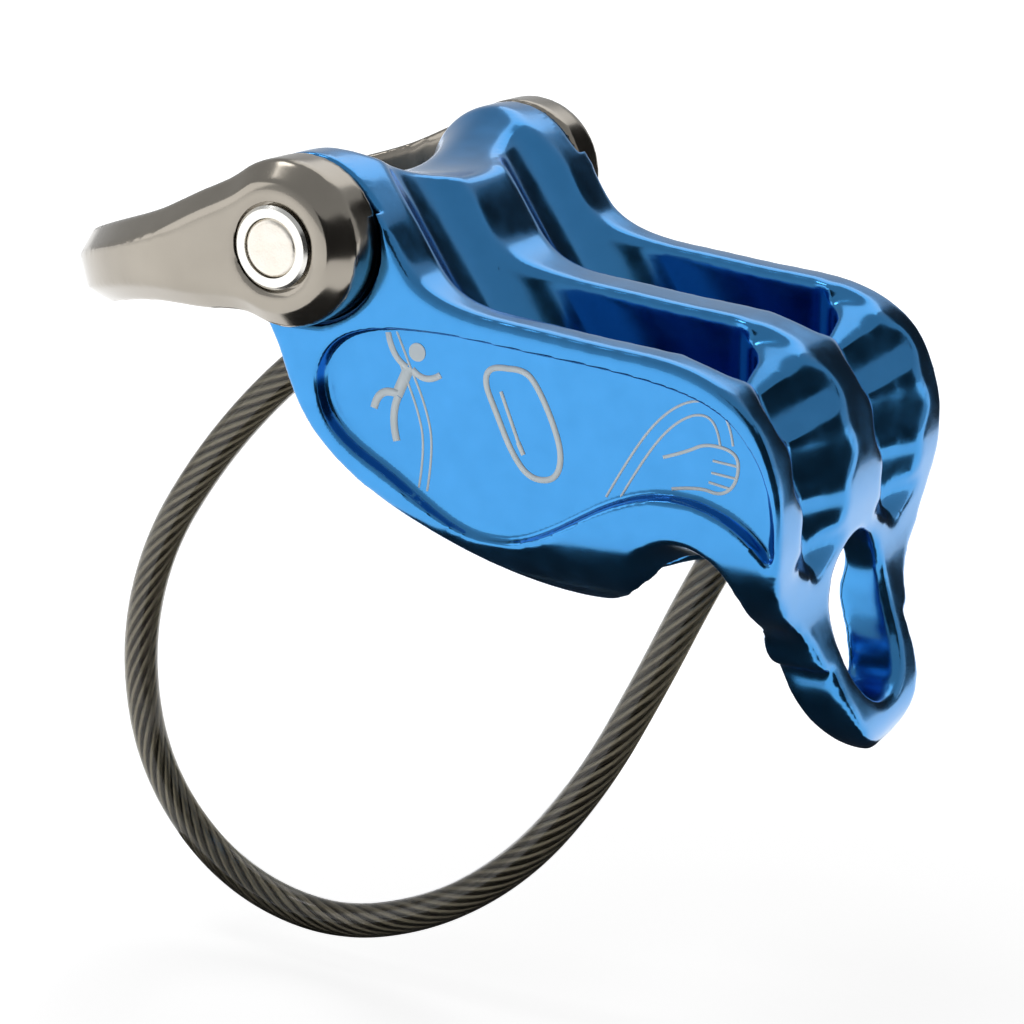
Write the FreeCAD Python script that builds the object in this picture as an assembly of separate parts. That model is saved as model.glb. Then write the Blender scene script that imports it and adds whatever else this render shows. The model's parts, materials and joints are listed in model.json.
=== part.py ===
import FreeCAD, Part
import math
import os

V = FreeCAD.Vector

# A tube-style belay and descending device for climbing ropes, in millimetres.
# The origin is the middle of the pivot axis. +X points to the nose, +Z up, and the
# device is a mirror image of itself about the plane y = 0.

# ---- driving dimensions ------------------------------------------------------------
# body
BODY_HALF_WIDTH = 19.0      # outer face of a side plate
PLATE = 3.6                 # side plate, between its outer face and a rope slot
WEB = 5.0                   # web between the two rope slots
FRONT_X = 43.3              # front of the plates, from the pivot axis
RIM_Z = -5.5                # top rim of the plates at mid-length
BELLY_Z = -29.2             # lowest point of the belly under the slots
EAR_R = 7.0                 # ears around the pivot
SADDLE_Z = 3.2              # the waist between the ears, from the pivot axis
SADDLE_R = 28.0
# rope slots
SLOT_REAR_X = 5.6           # rear wall of a slot at the height SLOT_REAR_Z
SLOT_REAR_Z = 2.0
SLOT_LEAN = 32.5            # degrees that the rear wall leans forward going down
FRONT_WALL = 8.6            # from the slot's front wall to the front of the plates
SLOT_REAR_R = 5.8
SLOT_FRONT_R = 3.5
# friction grooves over the front wall
GROOVE_DEPTH = 3.3          # a groove's centre line below the rims
SCALLOP_RISE = 0.09         # a scallop's depth, as a share of its chord
LIP_DROP = 5.6              # lowest point of the lip, below the top rim
# side pockets and arches
POCKET_DEPTH = 1.5
ARCH_PEAK_Z = -21.2
# nose with its release eye
NOSE_DROP = 43.2            # bottom of the nose below the pivot axis
NOSE_HALF_WIDTH = 8.7
EYE_HALF_WIDTH = 6.0
EYE_HEIGHT = 14.2
NOSE_BAR = 4.4              # bar under the release eye
# pivot
PIN_R = 2.5                 # stub pins, one pressed in each ear
PIN_START = 9.0             # inner end of a pin, from the middle plane
PIN_DOME = 0.5              # rounding of the peened ends
COLLAR_R = 3.5              # retaining collars, pressed on the pins' outer ends
COLLAR_THICKNESS = 1.5
COLLAR_PROUD = 0.25
COLLAR_CHAMFER = 0.25
END_CLEARANCE = 0.1         # between a collar and the floor of its seat
PIVOT_CLEARANCE = 0.08      # radial running clearance
SIDE_CLEARANCE = 0.35       # between the shackle and the body
RECESS_DEPTH = 1.2          # seat of a shackle boss in the body's ear
BOSS_R = 7.05
# shackle
SHACKLE_REACH = 32.3        # pivot axis to the outside of the bow
ARM_THICKNESS = 4.4
ARM_HEIGHT = 6.6            # at the bow
ARM_CROWN = 1.55            # extra height of an arm's upper side near its boss
CROWN_ANGLE = 112           # degrees round a boss to where the arm's upper side leaves
SHOULDER_ANGLE = 128        # the same for its lower side
SHACKLE_BEVEL = 1.8         # around the outer faces of the bosses, arms and bow
SHACKLE_REST = 13.5         # degrees that the shackle hangs below -X
# keeper cable: a wire rope in a clear jacket, held by a ferrule at each end
JACKET_R = 1.7
JACKET_BORE_R = 1.3
WIRE_R = 1.2
FERRULE_R = 2.1
FERRULE_LENGTH = 5.0
WIRE_GRIP = 3.5             # wire inside each ferrule
FERRULE_SEAT = 2.5          # jacket inside each hole of the body
HOLE_RUN_OUT = 6.0
WEB_FOOT_R = 3.5            # thickening of the web around the front hole
WEB_FOOT_LENGTH = 9.0
ARC_SHARE = 0.45
CABLE_ROUTE = [
    (-0.3, -8.6), (-6.2, -11.0), (-15.5, -18.0), (-24.0, -27.0), (-31.0, -37.5),
    (-34.0, -49.5), (-32.0, -61.8), (-23.6, -71.0), (-11.5, -73.9), (0.5, -70.0),
    (10.5, -62.5), (18.0, -52.5), (23.5, -42.0), (28.6, -31.2), (31.6, -25.8),
]

# ---- sizes that follow -------------------------------------------------------------
SLOT_OUT = BODY_HALF_WIDTH - PLATE
SLOT_IN = WEB / 2
SLOT_MID = (SLOT_OUT + SLOT_IN) / 2
SLOT_HALF = (SLOT_OUT - SLOT_IN) / 2
SLOT_FRONT_X = FRONT_X - FRONT_WALL
RECESS_Y = BODY_HALF_WIDTH - RECESS_DEPTH
BOSS_IN = RECESS_Y + SIDE_CLEARANCE
ARM_IN = BODY_HALF_WIDTH + SIDE_CLEARANCE
BOSS_OUT = ARM_IN + ARM_THICKNESS
REACH = 60.0                # longer than any cut has to be


def xz(x, z, y=0.0):
    """A point of a side view, at the depth y."""
    return V(x, y, z)


def spline(points, start=None, end=None):
    """An edge through the points, with optional tangents at its ends."""
    curve = Part.BSplineCurve()
    if start is None:
        curve.interpolate(Points=points)
    else:
        curve.interpolate(Points=points, InitialTangent=start, FinalTangent=end)
    return curve.toShape()


def arc(a, mid, b):
    return Part.Arc(a, mid, b).toShape()


def line(a, b):
    return Part.LineSegment(a, b).toShape()


def polygon(points):
    return Part.makePolygon(points + [points[0]])


def prism(wire, along):
    """The solid that a closed flat wire sweeps along a vector."""
    return Part.Face(wire).extrude(along)


def on_circle(radius, degrees):
    a = math.radians(degrees)
    return xz(radius * math.cos(a), radius * math.sin(a))


def mirrored(shape):
    return shape.mirror(V(0, 0, 0), V(0, 1, 0))


def cylinder_y(radius, y0, y1, x=0.0, z=0.0):
    return Part.makeCylinder(radius, y1 - y0, V(x, y0, z), V(0, 1, 0))


# ---- body --------------------------------------------------------------------------
def body_outline():
    """The side view of the forging: ears, rims, front, nose, web foot and belly."""
    ear_front = on_circle(EAR_R, 42)
    ear_rear = on_circle(EAR_R, 207)
    rim = [
        ear_front,
        xz(7.9, 1.5),
        xz(10.4, RIM_Z + 3.2),
        xz(14.5, RIM_Z + 1.1),
        xz(20.5, RIM_Z + 0.2),
        xz(27.5, RIM_Z - 0.6),
        xz(FRONT_X - 8.8, RIM_Z - 1.5),
        xz(FRONT_X - 4.8, RIM_Z - 3.2),
        xz(FRONT_X - 2.0, RIM_Z - 6.0),
        xz(FRONT_X - 0.4, RIM_Z - 10.0),
        xz(FRONT_X, RIM_Z - 14.5),
    ]
    nose = [
        rim[-1],
        xz(FRONT_X - 0.5, RIM_Z - 19.0),
        xz(FRONT_X - 0.1, -NOSE_DROP + 12.5),
        xz(FRONT_X + 2.0, -NOSE_DROP + 7.0),
        xz(FRONT_X + 3.2, -NOSE_DROP + 3.6),
        xz(FRONT_X + 3.1, -NOSE_DROP + 1.5),
        xz(FRONT_X + 1.9, -NOSE_DROP + 0.1),
        xz(FRONT_X + 0.2, -NOSE_DROP + 1.3),
        xz(FRONT_X - 2.6, -NOSE_DROP + 5.6),
        xz(FRONT_X - 4.3, -NOSE_DROP + 10.0),
        xz(FRONT_X - 4.9, -NOSE_DROP + 13.6),
        xz(FRONT_X - 5.4, BELLY_Z + 2.6),
    ]
    foot = [
        nose[-1],
        xz(FRONT_X - 9.5, BELLY_Z + 1.7),
        xz(FRONT_X - 14.5, BELLY_Z + 0.5),
        xz(24.5, BELLY_Z),
        xz(18.7, BELLY_Z + 1.4),
        xz(11.2, BELLY_Z + 5.0),
        xz(4.4, BELLY_Z + 8.9),
        xz(-0.4, BELLY_Z + 13.4),
        xz(-3.1, -9.6),
    ]
    ear_tangent = V(math.sin(math.radians(42)), 0, -math.cos(math.radians(42)))
    down = V(0, 0, -1)
    edges = [
        arc(ear_rear, on_circle(EAR_R, 125), ear_front),
        spline(rim, ear_tangent * 3, down * 4),
        spline(nose, down * 4, V(-1.5, 0, 3)),
        spline(foot, V(-2, 0, 0.5), V(-1, 0, 3)),
        line(foot[-1], ear_rear),
    ]
    return Part.Wire(edges)


def front_view():
    """The front view of the body: wide above, and drawn in to the nose."""
    side = BODY_HALF_WIDTH
    centre_z = -NOSE_DROP + NOSE_HALF_WIDTH
    shoulder = V(0, side, -20.0)
    flank = [
        shoulder,
        V(0, side - 1.4, -25.2),
        V(0, side - 4.5, -28.6),
        V(0, side - 7.9, -31.7),
        V(0, NOSE_HALF_WIDTH + 0.9, -33.8),
        V(0, NOSE_HALF_WIDTH, centre_z),
    ]
    right = spline(flank, V(0, 0, -3), V(0, 0, -3))
    left = right.mirror(V(0, 0, 0), V(0, 1, 0))
    bottom = arc(flank[-1], V(0, 0, -NOSE_DROP), V(0, -NOSE_HALF_WIDTH, centre_z))
    top = polygon_open(
        [V(0, -side, -20.0), V(0, -side, 20), V(0, side, 20), shoulder])
    return Part.Wire(Part.sortEdges([right, bottom, left] + top)[0])


def polygon_open(points):
    return [line(a, b) for a, b in zip(points, points[1:])]


def slot_cutter():
    """One rope slot: a leaning rear wall and a front wall, both round in plan."""
    top = SLOT_REAR_Z + 12.0
    drop = 44.0
    lean = math.tan(math.radians(SLOT_LEAN))
    rear_top = xz(SLOT_REAR_X - 12.0 * lean, top)
    rear_foot = xz(rear_top.x + drop * lean, top - drop)
    front_top = xz(SLOT_FRONT_X, top)
    front_foot = xz(SLOT_FRONT_X + 1.0, top - drop)
    behind = round_walled(rear_top, rear_foot, REACH, SLOT_REAR_R)
    ahead = round_walled(front_top, front_foot, -REACH, SLOT_FRONT_R)
    return behind.common(ahead)


def round_walled(top, foot, depth, radius):
    """A slot-wide block behind the wall from top to foot, its two wall edges rounded."""
    offset = V(0, SLOT_IN, 0)
    reach = V(depth, 0, 0)
    outline = polygon([top + offset, foot + offset,
                       foot + offset + reach, top + offset + reach])
    block = prism(outline, V(0, 2 * SLOT_HALF, 0))
    length = (foot - top).Length
    wall_x = max(abs(top.x), abs(foot.x)) + 0.1
    edges = [e for e in block.Edges
             if abs(e.Length - length) < 0.01 and abs(e.CenterOfMass.x) < wall_x]
    return block.makeFillet(radius, edges)


def groove_cutters():
    """The V-groove over one slot's front wall, with scallops between cross ridges."""
    centre = [
        (FRONT_X - 6.4, RIM_Z - LIP_DROP),
        (FRONT_X - 3.7, RIM_Z - 9.6),
        (FRONT_X - 2.5, RIM_Z - 14.0),
        (FRONT_X - 2.0, RIM_Z - 18.0),
    ]
    cutters = []
    for (x0, z0), (x1, z1) in zip(centre, centre[1:]):
        length = math.hypot(x1 - x0, z1 - z0)
        nx, nz = (z0 - z1) / length, (x1 - x0) / length
        cutters.append(trough(x0, z0, x1, z1, nx, nz))
        rise = SCALLOP_RISE * length
        radius = length * length / (8 * rise) + rise / 2
        cx = (x0 + x1) / 2 + nx * (radius - rise)
        cz = (z0 + z1) / 2 + nz * (radius - rise)
        cutters.append(bicone(cx, cz, radius))
    x0, z0 = centre[-1]
    cutters.append(bicone(x0 + 2.2, z0 - 0.2, 2.3))
    return cutters


def trough(x0, z0, x1, z1, nx, nz):
    """A V-shaped trough whose bottom line runs between two points of a side view."""
    far = GROOVE_DEPTH + 8.0
    ex = 0.8 * (x1 - x0) / math.hypot(x1 - x0, z1 - z0)
    ez = 0.8 * (z1 - z0) / math.hypot(x1 - x0, z1 - z0)
    x0, z0 = x0 - ex, z0 - ez
    x1, z1 = x1 + ex, z1 + ez
    points = [
        V(x0, SLOT_MID, z0),
        V(x0 + nx * GROOVE_DEPTH, SLOT_OUT, z0 + nz * GROOVE_DEPTH),
        V(x0 + nx * far, SLOT_OUT, z0 + nz * far),
        V(x0 + nx * far, SLOT_IN, z0 + nz * far),
        V(x0 + nx * GROOVE_DEPTH, SLOT_IN, z0 + nz * GROOVE_DEPTH),
    ]
    return prism(polygon(points), V(x1 - x0, 0, z1 - z0))


def bicone(x, z, radius):
    """Two cones base to base on a slot's middle plane, along Y."""
    edge = max(radius - GROOVE_DEPTH, 0.4)
    base = V(x, SLOT_MID, z)
    out = Part.makeCone(radius, edge, SLOT_HALF, base, V(0, 1, 0))
    return out.fuse(Part.makeCone(radius, edge, SLOT_HALF, base, V(0, -1, 0)))


def lip_cutter():
    """The shallow V above the front wall's lip, run along X."""
    low = RIM_Z - LIP_DROP
    x0 = SLOT_FRONT_X - 1.0
    high = RIM_Z - 2.6
    points = [
        V(x0, SLOT_MID, low),
        V(x0, SLOT_OUT, high),
        V(x0, SLOT_OUT, 10),
        V(x0, SLOT_IN, 10),
        V(x0, SLOT_IN, high),
    ]
    return prism(polygon(points), V(REACH, 0, 0))


def pocket_cutter():
    """The shallow pocket in the outer face of a side plate, pointed at its foot."""
    y = -BODY_HALF_WIDTH
    tip = xz(FRONT_X - 0.9, ARCH_PEAK_Z - 1.5, y)
    low = [
        tip,
        xz(FRONT_X - 4.4, ARCH_PEAK_Z + 1.9, y),
        xz(FRONT_X - 9.7, ARCH_PEAK_Z + 3.2, y),
        xz(FRONT_X - 16.0, ARCH_PEAK_Z + 1.3, y),
        xz(19.0, BELLY_Z + 5.2, y),
        xz(15.6, BELLY_Z + 5.2, y),
        xz(7.8, BELLY_Z + 9.4, y),
        xz(1.9, BELLY_Z + 13.6, y),
        xz(0.9, BELLY_Z + 17.6, y),
    ]
    top = [
        low[-1],
        xz(2.6, RIM_Z - 3.2, y),
        xz(8.5, RIM_Z - 1.4, y),
        xz(20.0, RIM_Z - 1.9, y),
        xz(FRONT_X - 11.0, RIM_Z - 3.2, y),
        xz(FRONT_X - 4.3, RIM_Z - 5.8, y),
        xz(FRONT_X - 1.4, RIM_Z - 10.6, y),
        tip,
    ]
    wire = Part.Wire([spline(low), spline(top)])
    return prism(wire, V(0, POCKET_DEPTH, 0))


def arch_cutters():
    """The arch under a side plate, wider outside, where a rope bight leaves the slot."""
    wide = [
        (-19.4, BELLY_Z - 3.0),
        (-17.2, BELLY_Z + 0.6),
        (-14.0, ARCH_PEAK_Z - 2.4),
        (-9.3, ARCH_PEAK_Z),
        (-5.4, ARCH_PEAK_Z - 1.8),
        (-4.1, ARCH_PEAK_Z - 4.8),
        (-4.3, ARCH_PEAK_Z - 9.4),
        (-4.7, -NOSE_DROP + 9.0),
    ]
    narrow = [
        (-19.4, BELLY_Z - 4.5),
        (-17.0, BELLY_Z - 0.5),
        (-12.6, BELLY_Z + 2.4),
        (-9.0, BELLY_Z + 5.6),
        (-6.2, BELLY_Z + 5.4),
        (-4.4, BELLY_Z + 2.6),
        (-4.3, BELLY_Z - 1.6),
        (-4.7, -NOSE_DROP + 9.0),
    ]
    inner = arch_wire(narrow, SLOT_OUT - 0.4)
    outer = arch_wire(wide, BODY_HALF_WIDTH + 0.4)
    flared = Part.makeLoft([inner, outer], True, True)
    return [prism(arch_wire(narrow, SLOT_IN), V(0, SLOT_OUT - 0.4 - SLOT_IN, 0)), flared]


def arch_wire(points, y):
    """An arch's outline at one y, from (x behind the front, z), open far below."""
    arch = [xz(FRONT_X + x, z, y) for x, z in points]
    low = [
        arch[-1],
        xz(arch[-1].x, -REACH, y),
        xz(arch[0].x, -REACH, y),
        arch[0],
    ]
    return Part.Wire([spline(arch, V(1, 0, 3), V(0, 0, -3))] + polygon_open(low))


def eye_cutter():
    """The release eye through the nose: two circles joined by their tangents."""
    wide = EYE_HALF_WIDTH
    narrow = EYE_HALF_WIDTH - 0.4
    low = -NOSE_DROP + NOSE_BAR + narrow
    high = -NOSE_DROP + NOSE_BAR + EYE_HEIGHT - wide
    sine = (wide - narrow) / (high - low)
    cosine = math.sqrt(1 - sine * sine)
    x = FRONT_X - 7.5
    a = V(x, wide * cosine, high - wide * sine)
    b = V(x, narrow * cosine, low - narrow * sine)
    c = V(x, -b.y, b.z)
    d = V(x, -a.y, a.z)
    wire = Part.Wire([
        line(a, b),
        arc(b, V(x, 0, low - narrow), c),
        line(c, d),
        arc(d, V(x, 0, high + wide), a),
    ])
    return prism(wire, V(REACH / 2, 0, 0))


def saddle_cutters():
    """The round waist between the ears: over the top, round the back and down."""
    centre = V(0, 0, SADDLE_Z + SADDLE_R)
    ahead = Part.makeCylinder(SADDLE_R, REACH, centre, V(1, 0, 0))
    disc = Part.Face(Part.Wire(Part.makeCircle(SADDLE_R, centre, V(1, 0, 0))))
    behind = disc.revolve(V(0, 0, 0), V(0, 1, 0), -90)
    below = Part.makeCylinder(
        SADDLE_R, REACH, V(-SADDLE_Z - SADDLE_R, 0, 0), V(0, 0, -1))
    return [ahead, behind, below]


def make_body(holes, web_foot):
    """The forged body: an extruded side view, shaped by its cuts."""
    solid = prism(body_outline(), V(0, 2 * BODY_HALF_WIDTH, 0))
    solid.translate(V(0, -BODY_HALF_WIDTH, 0))
    front = prism(front_view(), V(2 * REACH, 0, 0))
    front.translate(V(-REACH, 0, 0))
    solid = solid.common(front)
    cutters = []
    half_set = [slot_cutter(), lip_cutter()] + arch_cutters()
    half_set += groove_cutters()
    for cutter in half_set:
        cutters += [cutter, mirrored(cutter)]
    pocket = pocket_cutter()
    cutters += [pocket, mirrored(pocket)]
    cutters += saddle_cutters()
    cutters.append(eye_cutter())
    for y0, y1 in ((-REACH, -RECESS_Y), (RECESS_Y, REACH)):
        seat = cylinder_y(BOSS_R + SIDE_CLEARANCE, y0, y1)
        cutters.append(seat)
    for cutter in cutters:
        solid = solid.cut(cutter)
    solid = solid.fuse(web_foot)
    pin_hole = cylinder_y(PIN_R, PIN_START, REACH)
    for cutter in [pin_hole, mirrored(pin_hole)] + holes:
        solid = solid.cut(cutter)
    return solid.removeSplitter()


# ---- pivot -------------------------------------------------------------------------
def make_pin(side):
    """One steel pivot pin, pressed in an ear, with its outer end peened round."""
    end = BOSS_OUT + COLLAR_PROUD
    pin = cylinder_y(PIN_R, PIN_START, end)
    rim = [e for e in pin.Edges if e.BoundBox.YMin > end - 0.01]
    pin = pin.makeFillet(PIN_DOME, rim)
    return pin if side > 0 else mirrored(pin)


def make_collar(side):
    """One retaining collar, pressed on an axle end; side is -1 or 1."""
    outer = BOSS_OUT + COLLAR_PROUD
    inner = outer - COLLAR_THICKNESS
    ring = cylinder_y(COLLAR_R, inner, outer)
    rim = [e for e in ring.Edges if e.BoundBox.YMin > outer - 0.01]
    ring = ring.makeChamfer(COLLAR_CHAMFER, rim)
    ring = ring.cut(cylinder_y(PIN_R, inner - 1, outer + 1))
    return ring if side > 0 else mirrored(ring)


# ---- shackle -----------------------------------------------------------------------
def make_shackle():
    """The U-shaped shackle: two bored bosses, tapering arms and a round bow."""
    centre_x = -(SHACKLE_REACH - BOSS_OUT)
    half = ARM_HEIGHT / 2
    bow = plan_u(BOSS_OUT, centre_x).cut(plan_u(ARM_IN, centre_x))
    end_x = -SHACKLE_REACH - 1
    crown = on_circle(BOSS_R, CROWN_ANGLE)
    upper = spline([
        crown,
        xz(-7.0, half + 1.5 * ARM_CROWN),
        xz(-11.0, half + ARM_CROWN),
        xz(-17.0, half + 0.7 * ARM_CROWN),
        xz(end_x, half),
    ], V(-crown.z, 0, crown.x), V(-1, 0, -0.05))
    shoulder = on_circle(BOSS_R, -SHOULDER_ANGLE)
    lower = spline([
        shoulder,
        xz(-8.6, -half - 1.0),
        xz(-13.0, -half),
        xz(end_x, -half),
    ], V(shoulder.z, 0, -shoulder.x), V(-1, 0, 0))
    nose = arc(crown, xz(BOSS_R, 0), shoulder)
    tail = line(xz(end_x, half), xz(end_x, -half))
    side_view = Part.Wire(Part.sortEdges([upper, tail, lower, nose])[0])
    side_view.translate(V(0, -REACH, 0))
    bow = bow.common(prism(side_view, V(0, 2 * REACH, 0)))
    boss = cylinder_y(BOSS_R, BOSS_IN, ARM_IN)
    solid = bow.fuse([boss, mirrored(boss)]).removeSplitter()
    outer = [e for e in solid.Edges if on_outside(e, BOSS_OUT, centre_x)]
    solid = solid.makeChamfer(SHACKLE_BEVEL, outer)
    floor = BOSS_OUT + COLLAR_PROUD - COLLAR_THICKNESS - END_CLEARANCE
    bore = cylinder_y(PIN_R + PIVOT_CLEARANCE, BOSS_IN - 1, REACH)
    seat = cylinder_y(COLLAR_R + PIVOT_CLEARANCE, floor, REACH)
    for cutter in (bore, seat):
        solid = solid.cut(cutter).cut(mirrored(cutter))
    solid.rotate(V(0, 0, 0), V(0, 1, 0), -SHACKLE_REST)
    return solid


def on_outside(edge, half_width, centre_x):
    """True for the long edges around the shackle's outer face."""
    for share in (0.0, 0.25, 0.5, 0.75, 1.0):
        p = edge.valueAt(edge.FirstParameter
                         + share * (edge.LastParameter - edge.FirstParameter))
        beyond = min(p.x - centre_x, 0.0)
        if abs(math.hypot(beyond, p.y) - half_width) > 0.02:
            return False
    return abs(edge.tangentAt(edge.FirstParameter).z) < 0.99 or edge.Closed


def plan_u(half_width, centre_x):
    """A tall block with a U-shaped plan that is closed round at -X."""
    z = -REACH
    wire = Part.Wire([
        line(V(REACH, half_width, z), V(centre_x, half_width, z)),
        arc(V(centre_x, half_width, z), V(centre_x - half_width, 0, z),
            V(centre_x, -half_width, z)),
        line(V(centre_x, -half_width, z), V(REACH, -half_width, z)),
        line(V(REACH, -half_width, z), V(REACH, half_width, z)),
    ])
    return prism(wire, V(0, 0, 2 * REACH))


# ---- keeper cable ------------------------------------------------------------------
def unit(a, b):
    d = b - a
    return d * (1.0 / d.Length)


def route_path(points):
    """Straight runs joined by tangent arcs, as one wire; returns it and the radii."""
    edges = []
    radii = []
    start = points[0]
    for before, corner, after in zip(points, points[1:], points[2:]):
        run_in = corner - before
        run_out = after - corner
        turn = run_in.getAngle(run_out)
        reach = ARC_SHARE * min(run_in.Length, run_out.Length)
        radius = reach / math.tan(turn / 2)
        a = corner - unit(before, corner) * reach
        b = corner + unit(corner, after) * reach
        inward = unit(corner, (a + b) * 0.5)
        middle = corner + inward * (radius / math.cos(turn / 2) - radius)
        edges.append(line(start, a))
        edges.append(arc(a, middle, b))
        radii.append(radius)
        start = b
    edges.append(line(start, points[-1]))
    return Part.Wire(edges), radii


def tube(points, radius):
    """A solid round cord along a route."""
    path, radii = route_path(points)
    ring = Part.makeCircle(radius, points[0], unit(points[0], points[1]))
    solid = path.makePipeShell([Part.Wire(ring)], True, True)
    return solid, path.Length, radii


def lengthened(points, extra):
    """The route with both its ends moved outwards along their runs."""
    first = points[0] - unit(points[0], points[1]) * extra
    last = points[-1] + unit(points[-2], points[-1]) * extra
    return [first] + points[1:-1] + [last]


def make_ferrule(mouth, inward):
    """A blind steel sleeve, crimped on the wire's end and pressed in its hole."""
    sleeve = Part.makeCylinder(FERRULE_R, FERRULE_LENGTH, mouth, inward)
    return sleeve.cut(Part.makeCylinder(WIRE_R, WIRE_GRIP, mouth, inward))


def main():
    os.makedirs("parts", exist_ok=True)
    route = [xz(x, z) for x, z in CABLE_ROUTE]
    rear_in = unit(route[1], route[0])
    front_in = unit(route[-2], route[-1])
    holes = []
    for mouth, inward in ((route[0], rear_in), (route[-1], front_in)):
        start = mouth - inward * HOLE_RUN_OUT
        holes.append(Part.makeCylinder(
            FERRULE_R, HOLE_RUN_OUT + FERRULE_LENGTH, start, inward))
    web_foot = Part.makeCylinder(
        WEB_FOOT_R, WEB_FOOT_LENGTH, route[-1] - front_in * FERRULE_SEAT, front_in)
    jacket, length, radii = tube(route, JACKET_R)
    bore, _, _ = tube(route, JACKET_BORE_R)
    wire, wire_length, _ = tube(lengthened(route, WIRE_GRIP), WIRE_R)
    parts = {
        "body": make_body(holes, web_foot),
        "shackle": make_shackle(),
        "left_pin": make_pin(1),
        "right_pin": make_pin(-1),
        "left_collar": make_collar(1),
        "right_collar": make_collar(-1),
        "cable_jacket": jacket.cut(bore),
        "cable_wire": wire,
        "rear_ferrule": make_ferrule(route[0], rear_in),
        "front_ferrule": make_ferrule(route[-1], front_in),
    }
    print("jacket length", round(length, 1), "wire length", round(wire_length, 1))
    print("arc radii", [round(r, 1) for r in radii])
    section = math.pi * JACKET_R ** 2
    print("jacket volume over section x length", round(jacket.Volume / section / length, 4))
    for name, shape in parts.items():
        shape.exportStep("parts/" + name + ".step")
        print(name, "valid", shape.isValid(), "solids", len(shape.Solids),
              "mm3", round(shape.Volume))


if __name__ == "__main__":
    main()
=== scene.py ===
# Looks for a rope descender: forged body, pivoting shackle and keeper cable.
#
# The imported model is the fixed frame. Each sub-assembly below is a class that builds its
# visible pieces in that frame, in metres, and dresses them in procedural finishes.

import json
import logging
import math
from dataclasses import dataclass, field
from enum import Enum

import bpy
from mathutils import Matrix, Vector

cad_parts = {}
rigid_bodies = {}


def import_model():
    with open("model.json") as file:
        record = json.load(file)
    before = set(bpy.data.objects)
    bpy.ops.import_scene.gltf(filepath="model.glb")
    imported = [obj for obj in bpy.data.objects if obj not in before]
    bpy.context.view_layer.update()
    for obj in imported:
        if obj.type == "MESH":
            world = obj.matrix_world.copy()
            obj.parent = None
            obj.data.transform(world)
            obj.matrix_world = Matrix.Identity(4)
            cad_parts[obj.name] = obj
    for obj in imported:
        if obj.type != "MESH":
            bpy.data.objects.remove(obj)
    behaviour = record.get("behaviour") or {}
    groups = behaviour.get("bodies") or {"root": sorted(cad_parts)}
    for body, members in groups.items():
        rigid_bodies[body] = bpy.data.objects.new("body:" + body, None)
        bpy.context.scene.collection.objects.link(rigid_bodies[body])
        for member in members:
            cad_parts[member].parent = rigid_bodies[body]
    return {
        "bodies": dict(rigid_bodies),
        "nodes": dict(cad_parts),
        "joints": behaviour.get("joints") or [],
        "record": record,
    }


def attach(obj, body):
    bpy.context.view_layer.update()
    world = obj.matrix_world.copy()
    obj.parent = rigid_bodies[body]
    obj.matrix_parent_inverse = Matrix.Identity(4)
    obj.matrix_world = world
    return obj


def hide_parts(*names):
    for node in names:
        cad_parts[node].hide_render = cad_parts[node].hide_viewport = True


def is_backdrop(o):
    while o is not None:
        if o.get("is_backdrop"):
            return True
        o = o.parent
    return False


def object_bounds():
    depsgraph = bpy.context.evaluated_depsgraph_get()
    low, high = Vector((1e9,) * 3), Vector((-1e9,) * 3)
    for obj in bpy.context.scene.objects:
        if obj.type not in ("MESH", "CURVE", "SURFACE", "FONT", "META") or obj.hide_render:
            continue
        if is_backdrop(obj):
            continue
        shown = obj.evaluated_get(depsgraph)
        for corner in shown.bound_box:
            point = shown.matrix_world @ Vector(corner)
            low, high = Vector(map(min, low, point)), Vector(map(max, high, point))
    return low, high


log = logging.getLogger("descender")
MM = 0.001
MERGE_WITHIN = 1e-6         # metres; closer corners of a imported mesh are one
SMOOTHING = 0.5             # how far one smoothing step moves a corner
CLOUD_DETAIL = 3.0
SPECK_DETAIL = 2.0
SPECK_FINER = 9.0           # times the cloud's scale
NOISE_SPAN = (0.35, 0.65)   # where most noise values lie
LOOK_AT = Vector((0.005, 0, -0.03))


class Body(Enum):
    """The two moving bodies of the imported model."""

    DEVICE = "body"
    SHACKLE = "shackle"


class Side(Enum):
    """Which side of the device a piece is on, as the sign of its y."""

    LEFT = 1
    RIGHT = -1


# ---- small helpers -----------------------------------------------------------------
def point(x: float, y: float, z: float) -> Vector:
    """A place in metres, from sizes in millimetres."""
    return Vector((x, y, z)) * MM


def deselect() -> None:
    """Leaves nothing selected and no object in edit mode."""
    active = bpy.context.view_layer.objects.active
    if active is not None and active.mode != "OBJECT":
        bpy.ops.object.mode_set(mode="OBJECT")
    bpy.ops.object.select_all(action="DESELECT")


def pick(piece: bpy.types.Object) -> None:
    """Makes one piece the only selected and active object.

    Args:
        piece: The piece.
    """
    deselect()
    piece.select_set(True)
    bpy.context.view_layer.objects.active = piece


def settle(piece: bpy.types.Object, name: str) -> bpy.types.Object:
    """Names a piece and moves its place, turn and size into its mesh.

    Args:
        piece: The object to settle.
        name: Its new name, also given to its data.

    Returns:
        The same object.
    """
    pick(piece)
    bpy.ops.object.transform_apply(location=True, rotation=True, scale=True)
    piece.name = name
    piece.data.name = name
    return piece


def apply_modifier(piece: bpy.types.Object, kind: str, **values: object) -> None:
    """Adds one modifier with the given settings and applies it.

    Args:
        piece: The object that gets it.
        kind: The modifier's type.
        values: Settings of the modifier, by name.
    """
    pick(piece)
    modifier = piece.modifiers.new(kind.title(), kind)
    for key, value in values.items():
        setattr(modifier, key, value)
    bpy.ops.object.modifier_apply(modifier=modifier.name)


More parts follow.
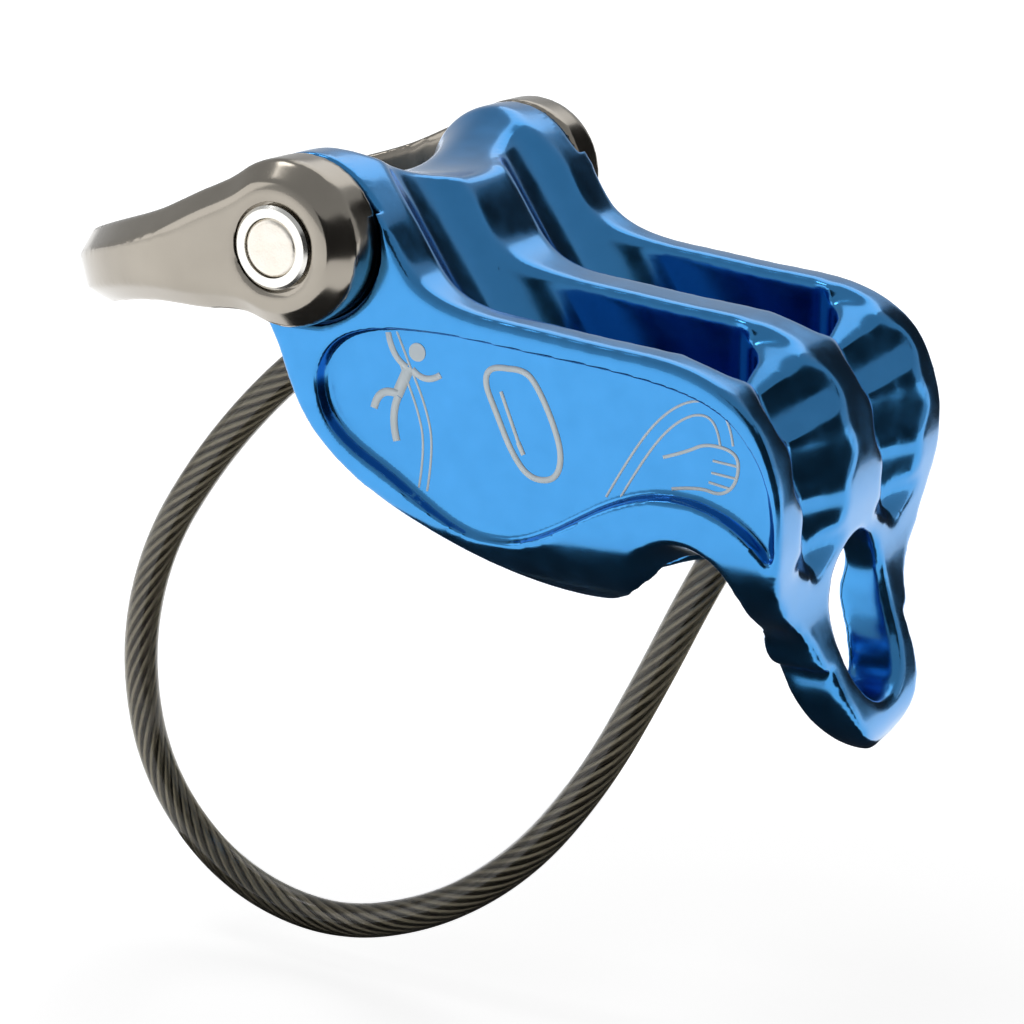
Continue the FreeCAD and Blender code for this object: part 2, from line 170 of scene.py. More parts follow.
def copy_of_node(frame: dict, node: str, name: str) -> bpy.types.Object:
    """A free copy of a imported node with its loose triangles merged.

    Args:
        node: The node's name.
        name: The copy's name.

    Returns:
        The copy, which rides on nothing yet.
    """
    mesh = frame["nodes"][node].data.copy()
    piece = bpy.data.objects.new(name, mesh)
    bpy.context.scene.collection.objects.link(piece)
    mesh.materials.clear()
    pick(piece)
    bpy.ops.object.mode_set(mode="EDIT")
    bpy.ops.mesh.select_all(action="SELECT")
    bpy.ops.mesh.remove_doubles(threshold=MERGE_WITHIN)
    bpy.ops.mesh.customdata_custom_splitnormals_clear()
    bpy.ops.object.mode_set(mode="OBJECT")
    return piece


def smoothstep(low: float, high: float, value: float) -> float:
    """0 below low, 1 above high and a soft step between them."""
    t = min(max((value - low) / (high - low), 0.0), 1.0)
    return t * t * (3 - 2 * t)


def distance_to_line(x: float, z: float, line: list[tuple[float, float]]) -> float:
    """How far a point of the side view lies from a line of straight runs.

    Args:
        x: The point's x.
        z: The point's z.
        line: The line's corners, in the same unit.

    Returns:
        The shortest distance.
    """
    best = math.inf
    for (ax, az), (bx, bz) in zip(line, line[1:]):
        dx, dz = bx - ax, bz - az
        t = ((x - ax) * dx + (z - az) * dz) / (dx * dx + dz * dz)
        t = min(max(t, 0.0), 1.0)
        best = min(best, math.hypot(x - ax - t * dx, z - az - t * dz))
    return best


def tube(
    name: str,
    points: list[Vector],
    radius: float,
    order: int = 3,
    resolution: int = 8,
    sides: int = 4,
) -> bpy.types.Object:
    """One open NURBS curve with a round section.

    Args:
        name: The curve's name.
        points: Its control points, in metres.
        radius: The section's radius; 0 gives a bare line.
        order: The spline's order.
        resolution: Steps for each control point.
        sides: Bevel resolution of the section.

    Returns:
        The curve object.
    """
    data = bpy.data.curves.new(name, "CURVE")
    data.dimensions = "3D"
    data.resolution_u = resolution
    data.bevel_depth = radius
    data.bevel_resolution = sides
    data.use_fill_caps = radius > 0
    spline = data.splines.new("NURBS")
    spline.points.add(len(points) - 1)
    for control, p in zip(spline.points, points):
        control.co = (p.x, p.y, p.z, 1.0)
    spline.order_u = order
    spline.use_endpoint_u = True
    curve = bpy.data.objects.new(name, data)
    bpy.context.scene.collection.objects.link(curve)
    return curve


# ---- shader groups -----------------------------------------------------------------
def socket(
    tree: bpy.types.NodeTree,
    name: str,
    kind: str,
    out: bool,
    value: float | None = None,
) -> bpy.types.NodeTreeInterfaceSocket:
    """Adds one socket to a node group.

    Args:
        tree: The group.
        name: The socket's name.
        kind: The socket's type.
        out: True for an output.
        value: An input's default.

    Returns:
        The new socket.
    """
    way = "OUTPUT" if out else "INPUT"
    made = tree.interface.new_socket(name=name, in_out=way, socket_type=kind)
    if value is not None:
        made.default_value = value
    return made


def fine_grain() -> bpy.types.NodeTree:
    """A group that gives two scales of noise on the piece's own coordinates.

    Returns:
        The group, with inputs Scale and Balance and outputs Cloud and Speck.
    """
    tree = bpy.data.node_groups.get("fine_grain")
    if tree is not None:
        return tree
    tree = bpy.data.node_groups.new("fine_grain", "ShaderNodeTree")
    socket(tree, "Scale", "NodeSocketFloat", False, 300.0)
    socket(tree, "Balance", "NodeSocketFloat", False, 0.5)
    socket(tree, "Cloud", "NodeSocketFloat", True)
    socket(tree, "Speck", "NodeSocketFloat", True)
    nodes, links = tree.nodes, tree.links
    start = nodes.new("NodeGroupInput")
    end = nodes.new("NodeGroupOutput")
    place = nodes.new("ShaderNodeTexCoord")
    cloud = nodes.new("ShaderNodeTexNoise")
    cloud.inputs["Detail"].default_value = CLOUD_DETAIL
    finer = nodes.new("ShaderNodeMath")
    finer.operation = "MULTIPLY"
    finer.inputs[1].default_value = SPECK_FINER
    speck = nodes.new("ShaderNodeTexNoise")
    speck.inputs["Detail"].default_value = SPECK_DETAIL
    blend = nodes.new("ShaderNodeMix")
    blend.data_type = "FLOAT"
    links.new(place.outputs["Object"], cloud.inputs["Vector"])
    links.new(place.outputs["Object"], speck.inputs["Vector"])
    links.new(start.outputs["Scale"], cloud.inputs["Scale"])
    links.new(start.outputs["Scale"], finer.inputs[0])
    links.new(finer.outputs[0], speck.inputs["Scale"])
    links.new(start.outputs["Balance"], blend.inputs["Factor"])
    links.new(speck.outputs["Fac"], blend.inputs["A"])
    links.new(cloud.outputs["Fac"], blend.inputs["B"])
    links.new(cloud.outputs["Fac"], end.inputs["Cloud"])
    links.new(blend.outputs["Result"], end.inputs["Speck"])
    return tree


@dataclass(frozen=True)
class Finish:
    """One procedural finish on a Principled shader.

    The colour and the roughness wander between two values, and a fine grain raises
    the surface.
    """

    name: str
    dark: tuple[float, float, float]
    light: tuple[float, float, float]
    metallic: float
    rough: tuple[float, float]
    scale: float
    bump: float
    depth: float = 0.00002
    balance: float = 0.3
    coat: float = 0.0
    coat_rough: float = 0.05
    transmission: float = 0.0
    ior: float = 1.5

    def material(self) -> bpy.types.Material:
        """Builds the material.

        Returns:
            The finished material.
        """
        made = bpy.data.materials.new(self.name)
        made.use_nodes = True
        made.diffuse_color = (*self.light, 1.0)
        nodes, links = made.node_tree.nodes, made.node_tree.links
        shader = nodes["Principled BSDF"]
        shader.inputs["Metallic"].default_value = self.metallic
        shader.inputs["IOR"].default_value = self.ior
        shader.inputs["Coat Weight"].default_value = self.coat
        shader.inputs["Coat Roughness"].default_value = self.coat_rough
        shader.inputs["Transmission Weight"].default_value = self.transmission
        grain = nodes.new("ShaderNodeGroup")
        grain.node_tree = fine_grain()
        grain.inputs["Scale"].default_value = self.scale
        grain.inputs["Balance"].default_value = self.balance
        tint = nodes.new("ShaderNodeMix")
        tint.data_type = "RGBA"
        tint.inputs["A"].default_value = (*self.dark, 1.0)
        tint.inputs["B"].default_value = (*self.light, 1.0)
        spread = nodes.new("ShaderNodeMapRange")
        spread.inputs["From Min"].default_value = NOISE_SPAN[0]
        spread.inputs["From Max"].default_value = NOISE_SPAN[1]
        spread.inputs["To Min"].default_value = self.rough[0]
        spread.inputs["To Max"].default_value = self.rough[1]
        relief = nodes.new("ShaderNodeBump")
        relief.inputs["Strength"].default_value = self.bump
        relief.inputs["Distance"].default_value = self.depth
        links.new(grain.outputs["Cloud"], tint.inputs["Factor"])
        links.new(tint.outputs["Result"], shader.inputs["Base Color"])
        links.new(grain.outputs["Cloud"], spread.inputs["Value"])
        links.new(spread.outputs["Result"], shader.inputs["Roughness"])
        links.new(grain.outputs["Speck"], relief.inputs["Height"])
        links.new(relief.outputs["Normal"], shader.inputs["Normal"])
        return made


def dress(piece: bpy.types.Object, material: bpy.types.Material) -> None:
    """Gives a piece one material all over."""
    piece.data.materials.clear()
    piece.data.materials.append(material)


# ---- body --------------------------------------------------------------------------
@dataclass
class ForgedBody:
    """The anodised body: rims, saddle and nose worn round, pockets and grooves crisp.

    A span is a pair of places, in millimetres, between which an effect comes in or
    fades.
    """

    voxel: float = 0.24 * MM
    all_over: int = 14
    on_rims: int = 40
    most_triangles: int = 192_000
    least_weight: float = 0.01
    rim_span: tuple[float, float] = (0.85, 1.7)
    nose_span: tuple[float, float] = (-34.0, -28.0)
    nose_share: float = 0.7
    saddle_sides: tuple[float, float] = (15.5, 17.0)
    saddle_front: tuple[float, float] = (6.0, 8.0)
    saddle_top: tuple[float, float] = (0.0, 1.5)
    saddle_back: tuple[float, float] = (2.0, 4.0)
    saddle_foot: tuple[float, float] = (-6.0, -4.0)
    seat_side: tuple[float, float] = (16.9, 17.4)
    seat_edge: tuple[float, float] = (7.9, 8.4)
    pocket_side: tuple[float, float] = (16.5, 17.2)
    pocket_edge: tuple[float, float] = (1.3, 1.8)
    groove_front: tuple[float, float] = (35.5, 36.5)
    groove_foot: tuple[float, float] = (-27.0, -25.5)
    groove_edge: tuple[float, float] = (1.0, 1.5)
    eye_front: tuple[float, float] = (34.0, 36.0)
    eye_sides: tuple[float, float] = (7.5, 9.0)
    eye_top: tuple[float, float] = (-25.0, -22.0)
    finish: Finish = Finish(
        name="blue_anodised",
        dark=(0.042, 0.245, 0.560),
        light=(0.060, 0.310, 0.690),
        metallic=1.0,
        rough=(0.15, 0.22),
        scale=420.0,
        bump=0.09,
        coat=0.25,
        coat_rough=0.06,
    )
    # the outline of the side view, close enough to tell a rim from a plate
    rim: list[tuple[float, float]] = field(default_factory=lambda: [
        (-5.0, 5.0), (-2.0, 6.8), (2.0, 6.8), (5.2, 4.7), (7.9, 1.5), (10.4, -2.3),
        (14.5, -4.4), (20.5, -5.3), (27.5, -6.1), (34.5, -7.0), (38.5, -8.7),
        (41.3, -11.5), (42.9, -15.5), (43.3, -20.0), (42.9, -24.5), (43.2, -30.7),
        (45.2, -36.2), (46.5, -39.6), (45.2, -43.1), (43.5, -41.9), (40.7, -37.6),
        (39.0, -33.2), (38.4, -29.6), (37.9, -26.6), (33.8, -27.5), (28.8, -28.7),
        (24.5, -29.2), (18.7, -27.8), (11.2, -24.2), (4.4, -20.3), (-0.4, -15.8),
        (-3.1, -9.6), (-6.2, -3.2), (-7.0, 0.0), (-5.0, 5.0),
    ])

    def softness(self, co: Vector) -> float:
        """How strongly a point of the surface is worn round.

        Args:
            co: The point, in metres.

        Returns:
            From 0, crisp, to 1, worn round.
        """
        x, y, z = co.x / MM, abs(co.y) / MM, co.z / MM
        near = distance_to_line(x, z, self.rim)
        rim = 1.0 - smoothstep(*self.rim_span, near)
        nose = self.nose_share * (1.0 - smoothstep(*self.nose_span, z))
        saddle = 1.0 - smoothstep(*self.saddle_sides, y)
        saddle *= 1.0 - smoothstep(*self.saddle_front, x)
        behind = smoothstep(*self.saddle_back, -x) * smoothstep(*self.saddle_foot, z)
        saddle = min(saddle * (smoothstep(*self.saddle_top, z) + behind), 1.0)
        seat = smoothstep(*self.seat_side, y)
        seat *= 1.0 - smoothstep(*self.seat_edge, math.hypot(x, z))
        pocket = smoothstep(*self.pocket_side, y) * smoothstep(*self.pocket_edge, near)
        groove = smoothstep(*self.groove_front, x) * smoothstep(*self.groove_foot, z)
        groove *= smoothstep(*self.groove_edge, near)
        eye = smoothstep(*self.eye_front, x) * (1.0 - smoothstep(*self.eye_sides, y))
        eye *= 1.0 - smoothstep(*self.eye_top, z)
        crisp = max(seat, pocket, groove)
        return max(max(rim, nose, saddle) * (1.0 - crisp), eye)

    def build(self, frame: dict) -> bpy.types.Object:
        """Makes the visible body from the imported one.


        Returns:
            The body, riding on the device.
        """
        piece = copy_of_node(frame, "body", "forged_body")
        apply_modifier(piece, "REMESH", mode="VOXEL", voxel_size=self.voxel)
        group = piece.vertex_groups.new(name="worn")
        for vertex in piece.data.vertices:
            weight = self.softness(vertex.co)
            if weight > self.least_weight:
                group.add([vertex.index], weight, "REPLACE")
        apply_modifier(piece, "SMOOTH", factor=SMOOTHING, iterations=self.all_over)
        apply_modifier(
            piece, "SMOOTH", factor=SMOOTHING, iterations=self.on_rims,
            vertex_group=group.name)
        share = self.most_triangles / (2 * len(piece.data.polygons))
        apply_modifier(piece, "DECIMATE", ratio=min(share, 1.0))
        pick(piece)
        bpy.ops.object.shade_smooth()
        dress(piece, self.finish.material())
        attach(piece, Body.DEVICE.value)
        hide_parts("body")
        return piece


@dataclass
class EtchedMarks:
    """Plain pictograms, etched pale grey in the floor of the right side's pocket.

    Each stroke is half its width and the corners of its line. A round stroke is pressed
    flat, and each lies a step above the one before, so that none coincide.
    """

    floor_y: float = -17.5
    pressed: float = 0.12
    proud: float = 0.03
    step: float = 0.002
    curve_steps: int = 10
    finish: Finish = Finish(
        name="etched_grey",
        dark=(0.52, 0.60, 0.64),
        light=(0.66, 0.72, 0.75),
        metallic=0.0,
        rough=(0.45, 0.60),
        scale=900.0,
        bump=0.1,
    )
    strokes: list[tuple[float, list]] = field(default_factory=lambda: [
        # a hanging figure: torso, arms and legs as broad strokes
        (0.60, [(9.2, -10.3), (8.6, -11.5), (8.0, -12.8)]),
        (0.32, [(9.0, -10.3), (7.5, -9.6), (7.2, -7.4)]),
        (0.32, [(9.5, -10.4), (10.7, -11.6), (12.2, -10.6)]),
        (0.40, [(8.0, -12.7), (6.2, -12.2), (5.7, -14.2)]),
        (0.40, [(8.1, -12.9), (7.3, -14.6), (7.9, -16.8)]),
        # its two strands of rope
        (0.12, [(7.0, -7.0), (8.3, -10.0), (9.9, -13.5), (10.7, -17.0), (10.0, -20.6)]),
        (0.12, [(7.9, -7.0), (9.2, -10.0), (10.8, -13.5), (11.5, -17.0), (10.8, -20.8)]),
        # a snap link: its body, its gate and the pin it turns on
        (0.30, [(18.6, -9.3), (17.0, -9.2), (16.3, -10.6), (17.4, -13.0), (18.9, -16.4),
                (20.6, -18.4), (23.0, -18.2), (23.6, -16.0), (22.6, -13.0), (21.0, -10.0),
                (19.8, -9.2), (18.6, -9.3)]),
        (0.18, [(17.9, -11.3), (19.6, -15.6)]),
        (0.24, [(19.5, -15.4), (20.0, -16.4)]),
        # a bight of rope held down by a closed hand
        (0.12, [(27.6, -18.9), (29.8, -14.9), (32.6, -11.2), (35.6, -9.6), (38.2, -10.6),
                (38.6, -13.2)]),
        (0.12, [(28.7, -19.1), (30.7, -15.5), (33.2, -12.2), (35.6, -10.8), (37.2, -11.5),
                (37.5, -13.3)]),
        (0.16, [(32.6, -14.9), (34.6, -14.2), (36.2, -13.3), (38.4, -13.5), (39.2, -14.4),
                (38.9, -16.4), (37.6, -17.4), (35.8, -16.9), (33.4, -17.4)]),
        (0.12, [(36.9, -14.6), (39.0, -14.8)]),
        (0.12, [(36.8, -15.6), (38.9, -15.8)]),
        (0.12, [(36.6, -16.4), (38.4, -16.7)]),
    ])
    head: tuple[float, float, float] = (10.0, -8.9, 0.8)

    def stroke(self, index: int, width: float, line: list) -> bpy.types.Object:
        """One flat stroke that lies in the pocket's floor.

        Args:
            index: A number for its name.
            width: Half its width in millimetres.
            line: Its corners in the side view, in millimetres.

        Returns:
            The stroke as a mesh.
        """
        corners = [point(x, 0.0, z) for x, z in line]
        order = min(3, len(corners))
        curve = tube(
            f"stroke_{index}", corners, width * MM, order=order,
            resolution=self.curve_steps, sides=1)
        pick(curve)
        bpy.ops.object.convert(target="MESH")
        return bpy.context.view_layer.objects.active

    def build(self) -> bpy.types.Object:
        """Makes all the strokes and joins them to one piece.

        Returns:
            The marks, riding on the device.
        """
        strokes = [self.stroke(i, w, line) for i, (w, line) in enumerate(self.strokes)]
        x, z, radius = self.head
        deselect()
        bpy.ops.mesh.primitive_uv_sphere_add(
            segments=32, ring_count=12, radius=radius * MM, location=point(x, 0.0, z))
        strokes.append(settle(bpy.context.view_layer.objects.active, "head"))
        deselect()
        for index, stroke in enumerate(strokes):
            stroke.select_set(True)
            proud = self.proud + index * self.step
            for vertex in stroke.data.vertices:
                lift = max(-1.0, min(1.0, vertex.co.y / (self.pressed * MM)))
                vertex.co.y = (self.floor_y + lift * proud) * MM
        bpy.context.view_layer.objects.active = strokes[0]
        bpy.ops.object.join()
        piece = strokes[0]
        settle(piece, "etched_marks")
        dress(piece, self.finish.material())
        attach(piece, Body.DEVICE.value)
        return piece


# ---- shackle -----------------------------------------------------------------------
@dataclass
class HingedShackle:
    """The dark polished shackle, with a turned seat for each collar."""

    voxel: float = 0.28 * MM
    rounding: int = 10
    seat_radius: float = 3.78
    seat_floor: float = 22.45
    seat_cut: float = 6.0
    seat_steps: int = 96
    crease: float = 40.0
    finish: Finish = Finish(
        name="gunmetal_polish",
        dark=(0.300, 0.272, 0.232),
        light=(0.390, 0.355, 0.305),
        metallic=1.0,
        rough=(0.14, 0.20),
        scale=260.0,
        bump=0.05,
    )

    def seat_cutter(self, side: Side) -> bpy.types.Object:
        """A round cutter for one collar's seat.

        Args:
            side: Which boss it cuts.

        Returns:
            The cutter, which is removed after use.
        """
        deselect()
        middle = side.value * (self.seat_floor + self.seat_cut / 2)
        bpy.ops.mesh.primitive_cylinder_add(
            vertices=self.seat_steps, radius=self.seat_radius * MM,
            depth=self.seat_cut * MM,
            location=point(0, middle, 0), rotation=(math.pi / 2, 0, 0))
        return settle(bpy.context.view_layer.objects.active, f"seat_{side.name.lower()}")

    def build(self, frame: dict) -> bpy.types.Object:
        """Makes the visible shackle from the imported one.


        Returns:
            The shackle, riding on its own body.
        """
        piece = copy_of_node(frame, "shackle", "polished_shackle")
        apply_modifier(piece, "REMESH", mode="VOXEL", voxel_size=self.voxel)
        apply_modifier(piece, "SMOOTH", factor=SMOOTHING, iterations=self.rounding)
        for side in Side:
            cutter = self.seat_cutter(side)
            apply_modifier(
                piece, "BOOLEAN", operation="DIFFERENCE", object=cutter, solver="EXACT")
            bpy.data.objects.remove(cutter)
        pick(piece)
        bpy.ops.object.shade_smooth_by_angle(angle=math.radians(self.crease))
        dress(piece, self.finish.material())
        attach(piece, Body.SHACKLE.value)
        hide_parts("shackle")
        return piece


@dataclass
class HingeHardware:
    """The steel collars and pins, kept as packed and given turned and peened finishes."""

    turned: Finish = Finish(
        name="turned_steel",
        dark=(0.80, 0.785, 0.74),
        light=(0.93, 0.91, 0.86),
        metallic=1.0,
        rough=(0.20, 0.30),
        scale=500.0,
        bump=0.08,
    )
    peened: Finish = Finish(
        name="peened_steel",
        dark=(0.70, 0.62, 0.52),
        light=(0.98, 0.96, 0.90),
        metallic=1.0,
        rough=(0.28, 0.42),
        scale=620.0,
        bump=0.55,
        depth=0.00012,
        balance=0.75,
    )

    def build(self, frame: dict) -> None:
        """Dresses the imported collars, pins and ferrules.
        """
        turned, peened = self.turned.material(), self.peened.material()
        for node in ("left_collar", "right_collar", "rear_ferrule", "front_ferrule"):
            dress(frame["nodes"][node], turned)
        for node in ("left_pin", "right_pin"):
            dress(frame["nodes"][node], peened)


# ---- keeper cable ------------------------------------------------------------------
@dataclass
class KeeperCable:
    """The wire cable in its clear jacket: one curve, and strands laid along it."""

    radius: float = 1.7
    strands: int = 8
    lay: float = 16.5
    strand_radius: float = 0.33
    strand_circle: float = 0.86
    core_radius: float = 0.58
    # the imported cable's route, repeated in millimetres: the control points of a fitted
    # curve, some of them moved
    route: list[tuple[float, float]] = field(default_factory=lambda: [
        (-0.3, -8.6), (-6.2, -11.0), (-15.5, -18.0), (-24.0, -27.0), (-31.0, -37.5),
        (-34.0, -49.5), (-32.0, -61.8), (-23.6, -71.0), (-11.5, -73.9), (0.5, -70.0),
        (10.5, -62.5), (18.0, -52.5), (23.5, -42.0), (28.6, -31.2), (31.6, -25.8),
    ])
    jacket_finish: Finish = Finish(
        name="clear_jacket",
        dark=(0.74, 0.70, 0.60),
        light=(0.84, 0.80, 0.70),
        metallic=0.0,
        rough=(0.10, 0.20),
        scale=200.0,
        bump=0.08,
        transmission=1.0,
        ior=1.46,
    )
    wire_finish: Finish = Finish(
        name="strand_wire",
        dark=(0.13, 0.118, 0.092),
        light=(0.32, 0.30, 0.25),
        metallic=1.0,
        rough=(0.30, 0.45),
        scale=800.0,
        bump=0.15,
    )

    def centre_line(self) -> list[Vector]:
        """Points along the route's own spline, close together.

        Returns:
            The points, from the rear exit to the front one.
        """
        line = tube("route_line", self.points(), 0.0, resolution=24)
        graph = bpy.context.evaluated_depsgraph_get()
        mesh = bpy.data.meshes.new_from_object(line.evaluated_get(graph))
        points = [v.co.copy() for v in mesh.vertices]
        bpy.data.meshes.remove(mesh)
        bpy.data.objects.remove(line)
        return points

    def points(self) -> list[Vector]:
        """The route's control points in metres."""
        return [point(x, 0.0, z) for x, z in self.route]

    def strand_bundle(self, centre: list[Vector]) -> bpy.types.Object:
        """The strands and their core as one piece that follows the centre line.

        Args:
            centre: Points of the cable's middle.

        Returns:
            The bundle as a mesh.
        """
        side = Vector((0, 1, 0))
        travelled = [0.0]
        for a, b in zip(centre, centre[1:]):
            travelled.append(travelled[-1] + (b - a).length)
        pieces = []
        for n in range(self.strands + 1):
            core = n == self.strands
            circle = 0.0 if core else self.strand_circle * MM
            radius = (self.core_radius if core else self.strand_radius) * MM
            line = []
            for i, p in enumerate(centre):
                ahead = centre[min(i + 1, len(centre) - 1)] - centre[max(i - 1, 0)]
                across = ahead.normalized().cross(side)
                turn = -2 * math.pi * (travelled[i] / (self.lay * MM) + n / self.strands)
                line.append(p + (across * math.cos(turn) + side * math.sin(turn)) * circle)
            curve = tube(f"strand_{n}", line, radius, order=2, resolution=1, sides=2)
            pick(curve)
            bpy.ops.object.convert(target="MESH")
            pieces.append(bpy.context.view_layer.objects.active)
        deselect()
        for piece in pieces:
            piece.select_set(True)
        bpy.context.view_layer.objects.active = pieces[0]
        bpy.ops.object.join()
        settle(pieces[0], "wire_strands")
        pick(pieces[0])
        bpy.ops.object.shade_smooth()
        return pieces[0]

    def build(self) -> bpy.types.Object:
        """Makes the jacket and its strands.

        Returns:
            The jacket's curve.
        """
        centre = self.centre_line()
        strands = self.strand_bundle(centre)
        dress(strands, self.wire_finish.material())
        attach(strands, Body.DEVICE.value)
        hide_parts("cable_wire")
        jacket = tube(
            "cable_sleeve", self.points(), self.radius * MM, resolution=16, sides=8)
        dress(jacket, self.jacket_finish.material())
        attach(jacket, Body.DEVICE.value)
        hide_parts("cable_jacket")
        return jacket


# ---- studio ------------------------------------------------------------------------
@dataclass(frozen=True)
class Softbox:
    """One square soft light that looks at the device."""

    name: str
    place: tuple[float, float, float]
    size: float
    radiance: float

    def build(self) -> bpy.types.Object:
        """Makes the light.

        Returns:
            The light, turned to the device.
        """
        data = bpy.data.lights.new(self.name, "AREA")
        data.shape = "SQUARE"
        data.size = self.size
        data.energy = math.pi * self.size ** 2 * self.radiance
        lamp = bpy.data.objects.new(self.name, data)
        lamp.location = self.place
        lamp.rotation_mode = "QUATERNION"
        aim = LOOK_AT - Vector(self.place)
        lamp.rotation_quaternion = aim.to_track_quat("-Z", "Y")
        bpy.context.scene.collection.objects.link(lamp)
        return lamp


@dataclass
class Studio:
    """A pale lit floor, soft lights, dark cards round the device, and the camera."""

    floor_drop: float = 3.0
    floor_size: float = 12.0
    floor_glow: float = 0.80
    floor_grey: float = 0.9
    floor_rough: float = 0.7
    pale: tuple[float, float, float] = (0.92, 0.92, 0.92)
    overhead: tuple[float, float, float] = (0.42, 0.43, 0.44)
    horizon: tuple[float, float, float] = (0.58, 0.59, 0.60)
    dome_top: float = 0.65
    card_grey: float = 0.01
    card_rough: float = 0.9
    card_radius: float = 0.24
    card_height: float = 0.19
    card_steps: int = 96
    card_turns: tuple = ((-75.0, 18.0), (50.0, 78.0))
    under_radius: float = 0.062
    under_middle: float = 0.022
    under_drop: float = 1.0
    under_steps: int = 64
    lens: float = 88.03
    sensor: float = 36.0
    clip: tuple[float, float] = (0.01, 50.0)
    eye: tuple[float, float, float] = (0.11343, -0.19155, 0.03929)
    forward: tuple[float, float, float] = (-0.4562, 0.8402, -0.2932)
    lights: tuple[Softbox, ...] = (
        Softbox("top_back", (-0.06, 0.40, 0.42), 0.40, 1.0),
        Softbox("front_left", (-0.42, -0.30, 0.16), 0.34, 1.0),
        Softbox("overhead_strip", (-0.22, -0.04, 0.42), 0.12, 4.0),
    )

    def camera(self) -> bpy.types.Object:
        """Makes the camera and hands it to the scene.

        Returns:
            The camera.
        """
        data = bpy.data.cameras.new("camera")
        data.lens = self.lens
        data.sensor_width = self.sensor
        data.clip_start, data.clip_end = self.clip
        camera = bpy.data.objects.new("camera", data)
        camera.location = self.eye
        camera.rotation_mode = "QUATERNION"
        camera.rotation_quaternion = Vector(self.forward).to_track_quat("-Z", "Y")
        bpy.context.scene.collection.objects.link(camera)
        bpy.context.scene.camera = camera
        return camera

    def floor(self, lowest: float) -> bpy.types.Object:
        """A large pale floor just under the hanging loop, lit from inside like a table.

        Args:
            lowest: The object's lowest z.

        Returns:
            The floor.
        """
        deselect()
        bpy.ops.mesh.primitive_plane_add(
            size=self.floor_size, location=(0, 0, lowest - self.floor_drop * MM))
        floor = settle(bpy.context.view_layer.objects.active, "floor")
        material = bpy.data.materials.new("lit_floor")
        material.use_nodes = True
        shader = material.node_tree.nodes["Principled BSDF"]
        shader.inputs["Base Color"].default_value = (*[self.floor_grey] * 3, 1.0)
        shader.inputs["Roughness"].default_value = self.floor_rough
        shader.inputs["Emission Color"].default_value = (1.0, 1.0, 1.0, 1.0)
        shader.inputs["Emission Strength"].default_value = self.floor_glow
        dress(floor, material)
        floor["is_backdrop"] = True
        return floor

    def dark_card(self, lowest: float) -> bpy.types.Object:
        """Curved dark cards round the right side, seen only in reflections.

        Args:
            lowest: The object's lowest z.

        Returns:
            The cards, as one object.
        """
        deselect()
        bpy.ops.mesh.primitive_cylinder_add(
            vertices=self.card_steps, radius=self.card_radius, depth=self.card_height,
            end_fill_type="NOTHING",
            location=(0, 0, lowest + self.card_height / 2))
        card = settle(bpy.context.view_layer.objects.active, "dark_card")
        bpy.ops.object.mode_set(mode="EDIT")
        bpy.ops.mesh.select_all(action="DESELECT")
        bpy.ops.object.mode_set(mode="OBJECT")
        for face in card.data.polygons:
            turn = math.degrees(math.atan2(face.center.y, face.center.x))
            face.select = not any(first < turn < last for first, last in self.card_turns)
        bpy.ops.object.mode_set(mode="EDIT")
        bpy.ops.mesh.delete(type="FACE")
        bpy.ops.object.mode_set(mode="OBJECT")
        self.blacken(card)
        return card

    def under_card(self, lowest: float) -> bpy.types.Object:
        """A round dark card on the floor below the device, seen only in reflections.

        Args:
            lowest: The object's lowest z.

        Returns:
            The card.
        """
        deselect()
        bpy.ops.mesh.primitive_circle_add(
            vertices=self.under_steps, radius=self.under_radius, fill_type="NGON",
            location=(self.under_middle, 0, lowest - self.under_drop * MM))
        card = settle(bpy.context.view_layer.objects.active, "under_card")
        self.blacken(card)
        return card

    def blacken(self, card: bpy.types.Object) -> None:
        """Makes a card dark, and hides it from the camera and the lights.

        Args:
            card: The card.
        """
        material = bpy.data.materials.new(card.name)
        material.use_nodes = True
        shader = material.node_tree.nodes["Principled BSDF"]
        shader.inputs["Base Color"].default_value = (*[self.card_grey] * 3, 1.0)
        shader.inputs["Roughness"].default_value = self.card_rough
        dress(card, material)
        card.visible_camera = False
        card.visible_shadow = False
        card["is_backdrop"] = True

    def sky(self) -> None:
        """A dim dome for reflections, paler near the horizon, in front of a pale wall."""
        world = bpy.data.worlds.new("studio")
        world.use_nodes = True
        nodes, links = world.node_tree.nodes, world.node_tree.links
        shine = nodes["Background"]
        place = nodes.new("ShaderNodeTexCoord")
        split = nodes.new("ShaderNodeSeparateXYZ")
        height = nodes.new("ShaderNodeMapRange")
        height.inputs["From Min"].default_value = 0.0
        height.inputs["From Max"].default_value = self.dome_top
        dome = nodes.new("ShaderNodeMix")
        dome.data_type = "RGBA"
        dome.inputs["A"].default_value = (*self.horizon, 1.0)
        dome.inputs["B"].default_value = (*self.overhead, 1.0)
        seen = nodes.new("ShaderNodeLightPath")
        wall = nodes.new("ShaderNodeMix")
        wall.data_type = "RGBA"
        wall.inputs["B"].default_value = (*self.pale, 1.0)
        links.new(place.outputs["Generated"], split.inputs["Vector"])
        links.new(split.outputs["Z"], height.inputs["Value"])
        links.new(height.outputs["Result"], dome.inputs["Factor"])
        links.new(dome.outputs["Result"], wall.inputs["A"])
        links.new(seen.outputs["Is Camera Ray"], wall.inputs["Factor"])
        links.new(wall.outputs["Result"], shine.inputs["Color"])
        bpy.context.scene.world = world

    def build(self, lowest: float) -> None:
        """Sets up the floor, the cards, the lights and the sky.

        Args:
            lowest: The object's lowest z.
        """
        self.floor(lowest)
        self.dark_card(lowest)
        self.under_card(lowest)
        for softbox in self.lights:
            softbox.build()
        self.sky()
        bpy.context.scene.view_settings.view_transform = "Standard"


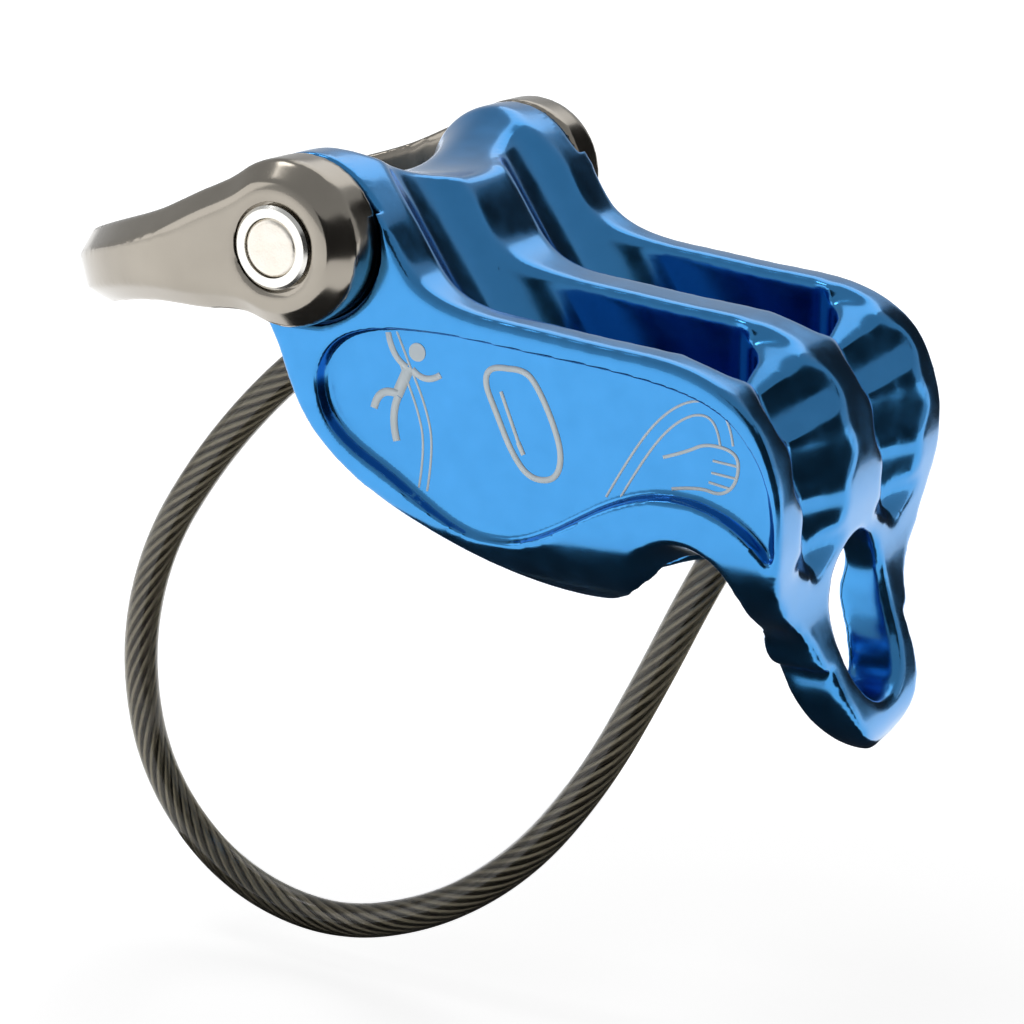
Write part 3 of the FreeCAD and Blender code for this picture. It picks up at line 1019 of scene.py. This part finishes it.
def main() -> None:
    """Builds the whole scene in order."""
    logging.basicConfig(level=logging.INFO, format="%(message)s")
    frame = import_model()
    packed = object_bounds()
    studio = Studio()
    studio.camera()
    KeeperCable().build()
    body = ForgedBody().build(frame)
    log.info("%s: %d faces", body.name, len(body.data.polygons))
    marks = EtchedMarks().build()
    log.info("%s: %d faces", marks.name, len(marks.data.polygons))
    shackle = HingedShackle().build(frame)
    log.info("%s: %d faces", shackle.name, len(shackle.data.polygons))
    HingeHardware().build(frame)
    studio.build(packed[0].z)


if __name__ == "__main__":
    main()
